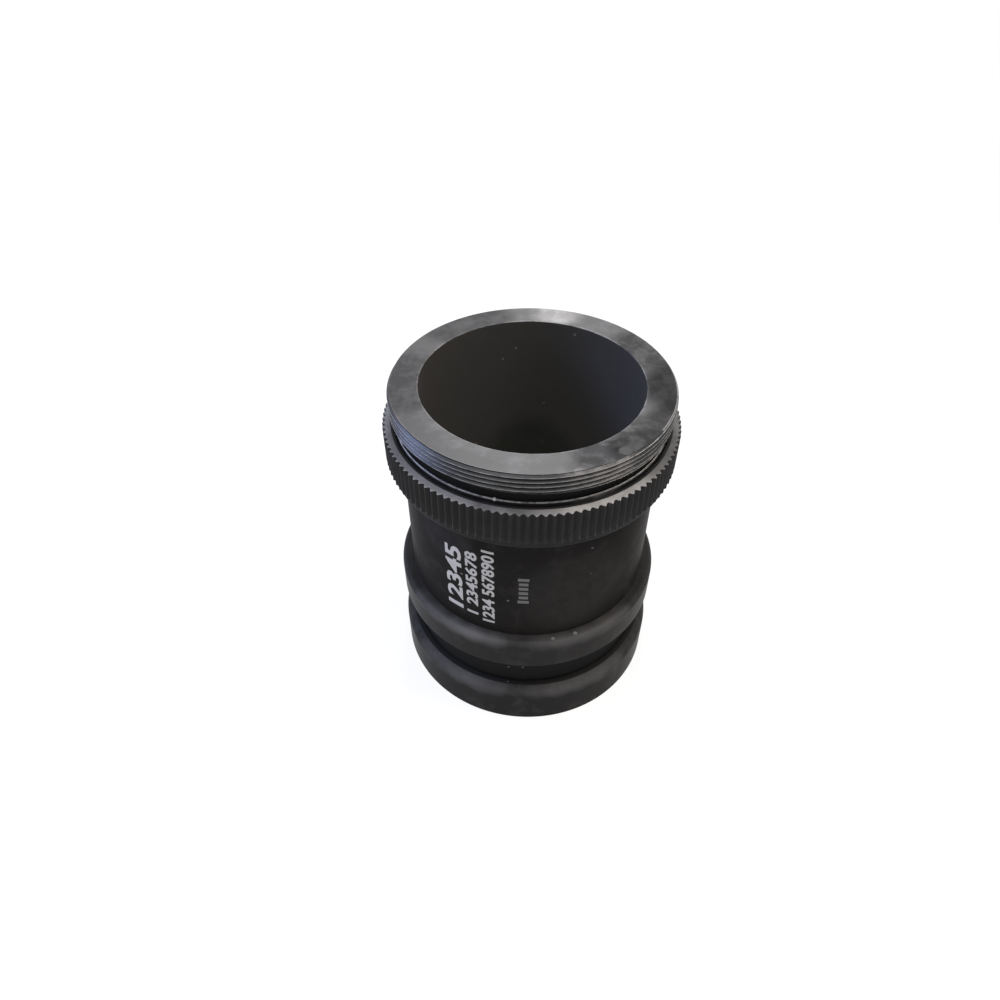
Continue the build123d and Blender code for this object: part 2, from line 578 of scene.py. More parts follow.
class Sketch(NodeDesk):
    """A node group with named inputs and outputs, while it is being drawn."""

    def __init__(self, name: str, kind: str = "ShaderNodeTree") -> None:
        """Start an empty group."""
        super().__init__(bpy.data.node_groups.new(name, kind))
        self.start, self.end = self.add("NodeGroupInput"), self.add("NodeGroupOutput")

    def takes(self, name: str, value: float | None = None, kind: str = "Float") -> Socket:
        """Add a named input.

        Args:
            name: Its name.
            value: Its default, where it has one.
            kind: The kind of its socket.

        Returns:
            The socket that carries it.
        """
        item = self.tree.interface.new_socket(name=name, in_out="INPUT", socket_type=f"NodeSocket{kind}")
        if value is not None:
            item.default_value = value
        return self.start.outputs[name]

    def gives(self, kind: str = "Float", **sources: Socket) -> bpy.types.NodeTree:
        """Add named outputs.

        Args:
            kind: The kind of their sockets.
            sources: The sockets whose values they show.

        Returns:
            The group.
        """
        for name, source in sources.items():
            self.tree.interface.new_socket(name=name, in_out="OUTPUT", socket_type=f"NodeSocket{kind}")
            self.join(source, self.end.inputs[name])
        return self.tree


# Effects that the finishes share


def turning_marks_group() -> bpy.types.NodeTree:
    """Draw the fine rings that a lathe tool leaves, for walls and faces alike.

    Returns:
        The group: Place and Spacing in, Height and Band out.
    """
    sketch = Sketch("turning_marks")
    place, spacing = sketch.takes("Place", kind="Vector"), sketch.takes("Spacing", 0.00012)
    x, y, z = sketch.parts(place)
    along = sketch.math("ADD", sketch.measure("LENGTH", sketch.point(x, y)), z)
    line = sketch.point(sketch.math("DIVIDE", along, spacing))
    fine, broad = sketch.noise(line, 1.0, 2.0, 0.6), sketch.noise(line, 0.09, 2.0, 0.5)
    return sketch.gives(Height=fine, Band=broad)


def edge_wear_group() -> bpy.types.NodeTree:
    """Draw where handling has rubbed the black off the outer edges.

    Returns:
        The group: Place, Scale, Amount and Evenness in, Mask out.
    """
    sketch = Sketch("edge_wear")
    place, scale = sketch.takes("Place", kind="Vector"), sketch.takes("Scale", 900.0)
    amount, evenness = sketch.takes("Amount", 0.5), sketch.takes("Evenness", 0.2)
    edge = sketch.add("ShaderNodeAttribute", attribute_name=EDGE_ATTRIBUTE).outputs["Fac"]
    grain = sketch.noise(place, scale, 4.0, 0.6)
    patch = sketch.noise(place, sketch.math("MULTIPLY", scale, 0.12), 2.0, 0.5)
    broken = sketch.math("MULTIPLY", sketch.remap(grain, 0.42, 0.62), sketch.remap(patch, 0.40, 0.66))
    even = sketch.math("MULTIPLY", sketch.remap(grain, 0.2, 0.6), evenness)
    along = sketch.math("MULTIPLY", edge, sketch.math("MAXIMUM", broken, even))
    return sketch.gives(Mask=sketch.math("MULTIPLY", along, amount, clamp=True))


def dust_group() -> bpy.types.NodeTree:
    """Draw scattered specks of dust and lint.

    Returns:
        The group: Place, Scale and Amount in, Mask out.
    """
    sketch = Sketch("dust_specks")
    place, scale = sketch.takes("Place", kind="Vector"), sketch.takes("Scale", 420.0)
    amount = sketch.takes("Amount", 0.5)
    cells = sketch.add("ShaderNodeTexVoronoi", {"Vector": place, "Scale": scale, "Randomness": 1.0})
    shade = sketch.add("ShaderNodeSeparateColor", {0: cells.outputs["Color"]}).outputs
    rare = sketch.math("GREATER_THAN", shade[0], 0.90)
    size = sketch.math("MULTIPLY_ADD", shade[1], 0.10, 0.03)
    inside = sketch.math("SUBTRACT", size, cells.outputs["Distance"])
    speck = sketch.math("MULTIPLY", sketch.remap(inside, 0.0, 0.025), rare)
    return sketch.gives(Mask=sketch.math("MULTIPLY", speck, amount, clamp=True))


def patch_or_light_group() -> bpy.types.NodeTree:
    """Draw one patch at a stated place: a speck, or a painted highlight, glint or patch of shade.

    Returns:
        The group: Place, Centre, Size, Scale and Broken in, Mask out.
    """
    sketch = Sketch("patch_or_painted_light")
    place, centre = (sketch.takes(name, kind="Vector") for name in ("Place", "Centre"))
    size, scale = sketch.takes("Size", 0.003), sketch.takes("Scale", 500.0)
    broken = sketch.takes("Broken", 0.8)
    away = sketch.math("DIVIDE", sketch.measure("DISTANCE", place, centre), size)
    core = sketch.math("SUBTRACT", 1.0, away, clamp=True)
    grain = sketch.remap(sketch.noise(place, scale, 4.0, 0.6), 0.36, 0.62)
    gone = sketch.math("MULTIPLY", broken, sketch.math("SUBTRACT", 1.0, grain))
    share = sketch.math("SUBTRACT", 1.0, gone)
    return sketch.gives(Mask=sketch.math("MULTIPLY", sketch.remap(core, 0.0, 0.45), share, clamp=True))


def mottle_group() -> bpy.types.NodeTree:
    """Draw the uneven sheen of handled anodising: broad patches, smears and a fine grain.

    Returns:
        The group: Place and Scale in, Patch, Smear and Grain out.
    """
    sketch = Sketch("anodise_mottle")
    place, scale = sketch.takes("Place", kind="Vector"), sketch.takes("Scale", 90.0)
    return sketch.gives(
        Patch=sketch.noise(place, scale, 3.0, 0.5),
        Smear=sketch.noise(place, sketch.math("MULTIPLY", scale, 3.4), 5.0, 0.65),
        Grain=sketch.noise(place, sketch.math("MULTIPLY", scale, 90.0), 2.0, 0.6),
    )


@dataclass
class SharedEffects:
    """The node groups that the finishes share, each drawn once."""

    marks: bpy.types.NodeTree = field(default_factory=turning_marks_group)
    wear: bpy.types.NodeTree = field(default_factory=edge_wear_group)
    dust: bpy.types.NodeTree = field(default_factory=dust_group)
    mottle: bpy.types.NodeTree = field(default_factory=mottle_group)
    patch_or_light: bpy.types.NodeTree = field(default_factory=patch_or_light_group)


# Finishes


DUST_COLOUR = (0.42, 0.41, 0.39)
DUST_HEIGHT = 0.00002  # m
DUST_ROUGHNESS = 0.4  # how much rougher a speck is than the surface
SMEAR_RANGE = (0.48, 0.72)  # of the noise, over which a smear comes in
SMEAR_GAIN = 4  # how many times lighter a full smear is
SMEAR_LIFT = 0.01  # and how much light it adds
HIGHLIGHT_TINT = (1.0, 0.98, 0.97)  # colour of the painted highlights along an edge
RIM_BROKEN = 0.12  # how much they are broken up


def grey(level: float) -> Colour:
    """Return a neutral colour."""
    return (level, level, level)


@dataclass(frozen=True)
class PatchOrLight:
    """A patch of a finish at a stated place: a speck of lint or dust, or a painted highlight, glint or
    patch of shade.
    """

    centre: Triple  # in millimetres
    size: float  # its radius, in millimetres
    colour: Colour
    strength: float = 1.0  # how much of it shows
    broken: float = 0.8  # how much its edge and inside are broken up
    gloss: float = 0.0  # how much rougher it is than the surface round it


def highlights_along(radius: float, height: float, size: float, spots: Sequence[Triple]) -> tuple[PatchOrLight, ...]:
    """Place painted highlights along an edge of a turned piece.

    Args:
        radius: Distance of their centres from the axis, in mm.
        height: Height of their centres, in mm.
        size: Reach of each highlight, in mm.
        spots: Degrees from the front, brightness and strength of each painted highlight.

    Returns:
        The painted highlights, in the order of the spots.
    """
    patches_and_light = []
    for degrees, level, strength in spots:
        turn = math.radians(degrees)
        centre = (radius * math.sin(turn), -radius * math.cos(turn), height)
        patches_and_light.append(PatchOrLight(centre, size, tuple(level * part for part in HIGHLIGHT_TINT), strength, RIM_BROKEN))
    return tuple(patches_and_light)


@dataclass(frozen=True)
class Finish:
    """One finish of the adapter, as a procedural material."""

    name: str
    colour: Colour
    worn_colour: Colour = grey(0.10)  # where edges are rubbed
    roughness: float = 0.42  # its middle
    roughness_spread: float = 0.06  # how far it wanders either way
    specular: float = 0.25
    metallic: float = 0.0
    wear: float = 0.5  # how much the outer edges are rubbed
    evenness: float = 0.2  # and how evenly
    dust: float = 0.5  # how strongly specks of dust show
    scuff: float = 0.2  # how much lighter the broad smears are
    marks: float = 0.000004  # depth of the lathe marks, in metres
    mark_spacing: float = 0.00012  # distance from mark to mark, in metres
    grain: float = 0.000003  # depth of the fine grain, in metres
    patches_and_light: tuple[PatchOrLight, ...] = ()  # specks, and painted highlights, glints and shade, at stated places

    def make(self, effects: SharedEffects) -> bpy.types.Material:
        """Build the material.

        Args:
            effects: The shared node groups.

        Returns:
            The new material.
        """
        material = bpy.data.materials.new(self.name)
        material.use_nodes = True
        desk = NodeDesk(material.node_tree)
        place = desk.add("ShaderNodeTexCoord").outputs["Object"]

        def placed(group: bpy.types.NodeTree, **values: object) -> bpy.types.NodeOutputs:
            """Put a shared group in this material with its own values."""
            return desk.add("ShaderNodeGroup", {"Place": place, **values}, node_tree=group).outputs

        marks = placed(effects.marks, Spacing=self.mark_spacing)
        wear = placed(effects.wear, Amount=self.wear, Evenness=self.evenness)["Mask"]
        dust = placed(effects.dust, Amount=self.dust)["Mask"]
        mottle = placed(effects.mottle)

        gain, lift = 1 + SMEAR_GAIN * self.scuff, SMEAR_LIFT * self.scuff
        smeared = tuple(part * gain + lift for part in self.colour)
        smear = desk.math("MULTIPLY", desk.remap(mottle["Smear"], *SMEAR_RANGE), self.scuff, clamp=True)
        colour = desk.mix_colour(smear, self.colour, smeared)
        colour = desk.mix_colour(wear, colour, self.worn_colour)
        colour = desk.mix_colour(dust, colour, DUST_COLOUR)

        rough = desk.math("MULTIPLY_ADD", mottle["Patch"], 2 * self.roughness_spread,
                          self.roughness - self.roughness_spread)
        rough = desk.math("MULTIPLY_ADD", marks["Band"], self.roughness_spread, rough)
        rough = desk.math("MULTIPLY_ADD", dust, DUST_ROUGHNESS, rough)
        # Specks, and painted highlights, glints and shade, each at its stated place.
        for patch_or_light in self.patches_and_light:
            centre = tuple(part * MM for part in patch_or_light.centre)
            patch = placed(effects.patch_or_light, Centre=centre, Size=patch_or_light.size * MM, Broken=patch_or_light.broken)
            share = desk.math("MULTIPLY", patch["Mask"], patch_or_light.strength)
            colour = desk.mix_colour(share, colour, patch_or_light.colour)
            rough = desk.math("MULTIPLY_ADD", share, patch_or_light.gloss, rough, clamp=True)

        relief = desk.math("MULTIPLY", marks["Height"], self.marks)
        relief = desk.math("MULTIPLY_ADD", mottle["Grain"], self.grain, relief)
        relief = desk.math("MULTIPLY_ADD", dust, DUST_HEIGHT, relief)
        bump = desk.add("ShaderNodeBump", {"Strength": 1.0, "Distance": 1.0, "Height": relief})
        desk.fill(desk.tree.nodes["Principled BSDF"], {
            "Base Color": colour, "Roughness": rough, "Metallic": self.metallic,
            "Specular IOR Level": self.specular, "Normal": bump.outputs["Normal"],
        })
        return material


LINT = (0.60, 0.59, 0.56)
# The bright worn colour on the thread's crests stands partly for wear and partly for painted highlights
# along them; the first patch is a speck of lint.
NOSE_FINISH = Finish(
    "nose_anodised", (0.014, 0.014, 0.015), (0.36, 0.355, 0.35), roughness=0.33, specular=0.28,
    wear=0.9, evenness=0.7, dust=0.4, scuff=0.4,
    patches_and_light=(PatchOrLight((-4.46, -19.86, 49.75), 0.25, LINT, 1.0, 0.0),
          # painted highlight on the thread's front right
          PatchOrLight((9.4, -18.8, 53.8), 6.5, (0.17, 0.165, 0.16), 0.7, 0.7)),
)
# The nose's upper face is painted lighter than its sides, partly as wear and partly as painted light from
# above.
NOSE_TOP_LIT_FINISH = Finish(
    "nose_top_lit_anodised", (0.026, 0.0255, 0.026), (0.26, 0.25, 0.25), roughness=0.36, specular=0.34,
    wear=0.9, evenness=0.6, dust=0.4, scuff=0.5,
    patches_and_light=(
        # Painted light: a glint at the back with its soft surround, painted shade over the front, the
        # right, the left, the back left and the back right, and two small painted glints at the front
        # right.
        PatchOrLight((3.6, 19.2, 55.0), 5.4, (0.15, 0.145, 0.14), 0.6, 0.5),
        PatchOrLight((3.8, 18.9, 55.0), 3.8, (0.29, 0.28, 0.27), 0.55, 0.4),
        PatchOrLight((9.0, -16.8, 55.0), 4.6, (0.006, 0.006, 0.007), 0.9, 0.8, 0.25),
        PatchOrLight((13.6, -12.0, 55.0), 5.5, grey(0.007), 0.9, 0.7, 0.25),
        PatchOrLight((22.0, -1.0, 55.0), 8.0, grey(0.003), 1.0, 0.2, 0.6),
        PatchOrLight((19.5, -9.0, 55.0), 5.0, grey(0.005), 0.9, 0.4, 0.4),
        PatchOrLight((14.3, -15.0, 55.0), 5.0, grey(0.006), 0.85, 0.5, 0.3),
        PatchOrLight((7.2, -19.4, 55.0), 3.4, grey(0.010), 0.6, 0.6, 0.1),
        PatchOrLight((17.0, 9.0, 55.0), 7.0, grey(0.005), 0.9, 0.6, 0.35),
        PatchOrLight((-19.0, -1.0, 55.0), 10.0, grey(0.008), 0.9, 0.5, 0.3),
        PatchOrLight((-11.0, 15.8, 55.0), 9.5, grey(0.008), 0.85, 0.4, 0.3),
        PatchOrLight((6.5, -19.9, 55.0), 1.3, (0.20, 0.19, 0.18), 0.4, 0.9),
        PatchOrLight((12.3, -15.4, 55.0), 1.0, (0.18, 0.17, 0.16), 0.35, 0.9),
    ),
)
GRIP_FINISH = Finish("grip_anodised", (0.0135, 0.0130, 0.0130), grey(0.04), roughness=0.46, specular=0.08,
                     wear=0.3, evenness=0.3, dust=0.3, scuff=0.3)
# The grip ring's upper face is painted far lighter than its teeth, partly as wear and partly as painted
# light from above.
GRIP_TOP_LIT_FINISH = Finish(
    "grip_top_lit_anodised", (0.13, 0.127, 0.127), (0.40, 0.39, 0.39), roughness=0.38, specular=0.5,
    wear=0.8, evenness=0.6,
    # A painted highlight at the front right, and painted shade at the right, the left and the front.
    patches_and_light=(PatchOrLight((10.8, -18.6, 49.3), 8.5, (0.29, 0.28, 0.27), 0.75, 0.4),
          PatchOrLight((21.2, -4.6, 49.3), 12.0, (0.035, 0.034, 0.034), 0.85, 0.3, 0.2),
          PatchOrLight((-21.4, -3.0, 49.3), 14.0, (0.050, 0.050, 0.052), 0.7, 0.4, 0.1),
          PatchOrLight((-3.2, -21.3, 49.3), 5.6, (0.036, 0.035, 0.035), 0.8, 0.4, 0.1)),
)
BARREL_FINISH = Finish(
    "barrel_anodised", (0.0150, 0.0140, 0.0132), grey(0.05), roughness=0.32, specular=0.004,
    wear=0.25, evenness=0.7, dust=0.25, scuff=0.35,
    # The first patch is a speck; the two broad ones are painted highlights, on the front right and the
    # front left.
    patches_and_light=(PatchOrLight((-2.6, -19.7, 28.8), 0.28, grey(0.10), 0.9, 0.0),
          PatchOrLight((7.4, -18.4, 30.0), 10.5, (0.027, 0.026, 0.025), 0.7, 0.4),
          PatchOrLight((-12.2, -15.6, 38.5), 6.0, (0.029, 0.029, 0.031), 0.6, 0.4)),
)
FLANGE_FINISH = Finish(
    "flange_anodised", (0.019, 0.0182, 0.0176), grey(0.06), roughness=0.34, specular=0.025,
    wear=0.3, evenness=0.7, dust=0.3, scuff=0.3,
    patches_and_light=(PatchOrLight((4.5, -20.2, 20.6), 0.35, grey(0.12), 0.9, 0.0),
          PatchOrLight((8.0, -19.0, 20.6), 0.40, grey(0.14), 0.9, 0.0),
          # Painted highlights along the flange's upper round, strongest at the front left.
          *highlights_along(23.4, 22.6, 4.6, (
              (-52.0, 0.090, 0.5), (-42.0, 0.110, 0.6), (-32.0, 0.125, 0.65), (-23.0, 0.140, 0.65),
              (-14.0, 0.110, 0.5), (8.0, 0.070, 0.45), (17.0, 0.092, 0.6), (27.0, 0.092, 0.6),
              (37.0, 0.096, 0.6), (46.0, 0.080, 0.5)))),
)
COUPLING_FINISH = Finish(
    "coupling_anodised", (0.0180, 0.0174, 0.0170), grey(0.07), roughness=0.30, specular=0.012,
    wear=0.4, evenness=0.7, dust=0.3, scuff=0.4,
    # Painted highlights along the coupling ring's upper round, to both sides of the front.
    patches_and_light=highlights_along(23.6, 9.0, 4.3, (
        (-50.0, 0.070, 0.5), (-40.0, 0.072, 0.6), (-31.0, 0.080, 0.65), (-22.0, 0.086, 0.65),
        (-13.0, 0.072, 0.5), (7.0, 0.060, 0.4), (16.0, 0.074, 0.65), (26.0, 0.072, 0.6),
        (36.0, 0.074, 0.65), (46.0, 0.070, 0.6))),
)
# Painted shade for walls in recesses: the nose's relief groove, land and thread valleys, the barrel's neck
# and the inner part of the coupling ring's upper round. Its one patch is a speck of lint.
GROOVE_SHADE_FINISH = Finish("groove_painted_shade", grey(0.012), roughness=0.6, specular=0.03, wear=0.0, dust=0.15,
                       scuff=0.1, patches_and_light=(PatchOrLight((-4.46, -19.7, 49.9), 0.25, LINT, 1.0, 0.0),))
BORE_FINISH = Finish(
    "bore_matt_black", (0.048, 0.046, 0.044), roughness=0.6, specular=0.06, wear=0.0, dust=0.25,
    scuff=0.1, marks=0.000006, mark_spacing=0.0002,
    # The large patch is painted shade, darker deeper down the back of the bore; the two small ones are
    # specks.
    patches_and_light=(PatchOrLight((0.0, 16.5, 27.0), 11.0, (0.028, 0.029, 0.025), 0.9, 0.2),
          PatchOrLight((-2.8, 16.3, 50.1), 0.3, grey(0.12), 0.8, 0.0),
          PatchOrLight((6.6, 15.1, 53.5), 0.3, grey(0.14), 0.8, 0.0)),
)
BAFFLE_FINISH = Finish("baffle_matt_black", grey(0.010), roughness=0.7, specular=0.12, wear=0.2, scuff=0.1)
WASHER_FINISH = Finish("washer_black_plastic", grey(0.045), roughness=0.5, specular=0.4, wear=0.3, dust=0.2,
                       scuff=0.05, marks=0.0)
SPRING_FINISH = Finish("blackened_spring_steel", (0.12, 0.11, 0.10), (0.35, 0.34, 0.33), roughness=0.34,
                       specular=0.5, metallic=1.0, dust=0.2, scuff=0.1)
RUBBER_FINISH = Finish("gasket_rubber", grey(0.018), grey(0.03), roughness=0.75, specular=0.3, wear=0.2,
                       dust=0.6, scuff=0.3, marks=0.0, grain=0.000008)
INK_FINISH = Finish("white_ink", (0.36, 0.355, 0.35), grey(0.3), roughness=0.6, roughness_spread=0.05,
                    specular=0.3, wear=0.0, dust=0.0, scuff=0.05, marks=0.0, grain=0.000004)
FAINT_INK_FINISH = replace(INK_FINISH, name="grey_ink", colour=grey(0.10), worn_colour=grey(0.10))


class Wardrobe:
    """The adapter's materials, each made once and handed out by its finish."""

    def __init__(self) -> None:
        """Draw the shared effects."""
        self.effects = SharedEffects()
        self.made: dict[str, bpy.types.Material] = {}

    def material(self, finish: Finish) -> bpy.types.Material:
        """Look up the material of a finish.

        Args:
            finish: The finish, whose material is made at first use.

        Returns:
            The material.
        """
        if finish.name not in self.made:
            self.made[finish.name] = finish.make(self.effects)
        return self.made[finish.name]

    def dress(self, piece: Piece, finish: Finish, **others: Finish) -> None:
        """Give a piece its materials.

        Args:
            piece: The piece, whose walls carry the values of their Face.
            finish: The finish of its outside.
            others: The finishes of its other walls, by the name of their Face.
        """
        values = np.empty(len(piece.data.polygons), dtype=np.int32)
        piece.data.polygons.foreach_get("material_index", values)
        used = np.unique(values)
        piece.data.materials.clear()
        for value in used:
            piece.data.materials.append(self.material(others.get(Face(value).name, finish)))
        piece.data.polygons.foreach_set("material_index", np.searchsorted(used, values).astype(np.int32))


def seat(piece: Piece, body: str, slot: Slot, *nodes: str) -> None:
    """Fasten a piece to its CAD body.

    Args:
        piece: The finished piece.
        body: The CAD body that it moves with.
        slot: The record's material slot; not used.
        nodes: The CAD nodes that it stands for.
    """
    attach(piece, body)
    if nodes:
        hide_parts(*nodes)
    LOG.info("%s rides on %s, %d faces", piece.name, body, len(piece.data.polygons))


# Geometry Nodes


class GeometrySketch(Sketch):
    """A Geometry Nodes tree with named inputs, while it is being drawn."""

    def __init__(self, name: str, **inputs: str) -> None:
        """Start a tree that takes a geometry and more inputs.

        Args:
            name: Name of the tree.
            inputs: The kind of socket of each further input.
        """
        super().__init__(name, "GeometryNodeTree")
        self.geometry = self.takes("Geometry", kind="Geometry")
        self.inputs = [self.takes(label, kind=kind) for label, kind in inputs.items()]

    def index(self) -> Socket:
        """Return the number of each copy."""
        return self.add("GeometryNodeInputIndex").outputs[0]

    def copies(self, count: Socket, offset: object, **each: Socket) -> Socket:
        """Put real copies of the geometry in a row.

        Args:
            count: How many.
            offset: The step from one to the next.
            each: The rotation or scale of each copy.

        Returns:
            The copies.
        """
        line = self.add("GeometryNodeMeshLine", {"Count": count, "Offset": offset}, mode="OFFSET")
        copies = self.add("GeometryNodeInstanceOnPoints",
                          {"Points": line.outputs["Mesh"], "Instance": self.geometry, **each})
        return self.real(copies.outputs[0])

    def real(self, geometry: Socket) -> Socket:
        """Turn instances into real geometry."""
        return self.add("GeometryNodeRealizeInstances", {0: geometry}).outputs[0]

    def painted(self, geometry: Socket, material: Socket, where: object = True) -> Socket:
        """Set the material of all walls or some."""
        inputs = {"Geometry": geometry, "Selection": where, "Material": material}
        return self.add("GeometryNodeSetMaterial", inputs).outputs[0]

    def run(self, base: Piece, name: str, **inputs: object) -> Piece:
        """Run the tree on an object and keep the result as a plain mesh.

        Args:
            base: The object to start from, which is removed.
            name: Name of the new piece.
            inputs: Values of the tree's inputs.

        Returns:
            The new piece.
        """
        modifier = base.modifiers.new(self.tree.name, "NODES")
        modifier.node_group = self.tree
        for item in self.tree.interface.items_tree:
            if item.in_out == "INPUT" and item.name in inputs:
                modifier[item.identifier] = inputs[item.name]
        return plain_copy(base, name)


def polar_array_tree() -> GeometrySketch:
    """Draw the tree that repeats one sector all round the optical axis.

    Returns:
        The tree: Count, Weld, Material and TopMaterial in, a closed ring out. The second material
        goes on the walls whose attribute top_face is 1.
    """
    sketch = GeometrySketch("sectors_round_axis", Count="Int", Weld="Float", Material="Material",
                            TopMaterial="Material")
    count, weld, material, top_material = sketch.inputs
    angle = sketch.math("MULTIPLY", sketch.index(), sketch.math("DIVIDE", TURN, count))
    rotation = sketch.add("FunctionNodeEulerToRotation", {0: sketch.point(z=angle)}).outputs[0]
    copies = sketch.copies(count, (0.0, 0.0, 0.0), Rotation=rotation)
    merged = sketch.add("GeometryNodeMergeByDistance", {"Geometry": copies, "Distance": weld}).outputs[0]
    mark = sketch.add("GeometryNodeInputNamedAttribute", {"Name": TOP_ATTRIBUTE}, data_type="FLOAT")
    on_top = sketch.math("GREATER_THAN", mark.outputs["Attribute"], 0.5)
    dressed = sketch.painted(sketch.painted(merged, material), top_material, on_top)
    sketch.gives("Geometry", Geometry=dressed)
    return sketch


def scale_ticks_tree() -> GeometrySketch:
    """Draw the tree that rules a scale: copies of one tick in a line, every so many a longer one.

    Returns:
        The tree: Count, Pitch, Every, Long and Material in, the ticks out.
    """
    sketch = GeometrySketch("ruled_scale", Count="Int", Pitch="Float", Every="Int", Long="Float",
                            Material="Material")
    count, pitch, every, longer, material = sketch.inputs
    on_beat = sketch.math("LESS_THAN", sketch.math("MODULO", sketch.index(), every), 0.5)
    stretch = sketch.math("MULTIPLY_ADD", on_beat, sketch.math("SUBTRACT", longer, 1.0), 1.0)
    ticks = sketch.copies(count, sketch.point(y=pitch), Scale=sketch.point(stretch, 1.0, 1.0))
    sketch.gives("Geometry", Geometry=sketch.painted(ticks, material))
    return sketch


def wrap_on_barrel_tree() -> GeometrySketch:
    """Draw the tree that wraps flat print on a cylinder.

    Flat X runs round the cylinder, flat Y up it and flat Z out of it.

    Returns:
        The tree: Radius, Azimuth, Base and Material in, the wrapped print out.
    """
    sketch = GeometrySketch("print_on_cylinder", Radius="Float", Azimuth="Float", Base="Float",
                            Material="Material")
    radius, azimuth, base, material = sketch.inputs
    x, y, z = sketch.parts(sketch.add("GeometryNodeInputPosition").outputs[0])
    angle = sketch.math("ADD", sketch.math("DIVIDE", x, radius), azimuth)
    out = sketch.math("ADD", z, radius)
    front = sketch.math("MULTIPLY", out, sketch.math("COSINE", angle))
    place = sketch.point(sketch.math("MULTIPLY", out, sketch.math("SINE", angle)),
                         sketch.math("MULTIPLY", front, -1.0), sketch.math("ADD", y, base))
    moved = sketch.add("GeometryNodeSetPosition", {"Geometry": sketch.geometry, "Position": place})
    sketch.gives("Geometry", Geometry=sketch.painted(sketch.real(moved.outputs[0]), material))
    return sketch


# Sub-assemblies, sizes in millimetres


@dataclass
class CameraNose:
    """The turned nose: camera thread, relief groove, land, clamped flange, stem and light bore."""

    thread_length: float = 3.2
    relief_depth: float = 1.1  # of the groove behind the thread
    land_step: float = 0.45  # from the groove's floor out to the land
    land_drop: float = 5.1  # from the top face down to the land
    flange_drop: float = 6.75  # from the top face down to the clamped flange
    flange_thickness: float = 1.15
    flange_step: float = 0.65  # from the land out to the flange
    stem_wall: float = 1.7

    def build(self, wardrobe: Wardrobe) -> None:
        """Build the nose with its helical thread and dress it.

        Args:
            wardrobe: The adapter's materials.
        """
        bottom, top = node_heights("camera_nose")
        bore = mount_radius("light_bore")
        thread = Thread(mount_radius("camera_thread"), top - self.thread_length, top, Hand.MALE)
        relief = thread.crest_radius - self.relief_depth
        land = relief + self.land_step
        flange = land + self.flange_step
        flange_top = top - self.flange_drop
        flange_bottom = flange_top - self.flange_thickness
        stem = bore + self.stem_wall
        piece = TurnedMesh("camera_nose_piece").section([
            Corner(bore, bottom, 0.1),
            Corner(stem, bottom, 0.15),
            Corner(stem, flange_bottom),
            Corner(flange, flange_bottom, 0.08),
            Corner(flange, flange_top, 0.08),
            Corner(land, flange_top),
            Corner(land, top - self.land_drop, 0.16, face=Face.GROOVE),
            Corner(relief, top - self.land_drop, 0.1, face=Face.GROOVE),
            Corner(relief, thread.start, face=Face.TOP, thread=thread),
            Corner(bore, top, 0.12, 4, Face.INNER),
        ]).build()
        # The relief groove, the land and the thread's valleys take painted shade; the upper face takes its
        # lighter finish with painted glints and shade.
        wardrobe.dress(piece, NOSE_FINISH, INNER=BORE_FINISH, GROOVE=GROOVE_SHADE_FINISH, TOP=NOSE_TOP_LIT_FINISH)
        seat(piece, "nose", Slot.ANODISED, "camera_nose")


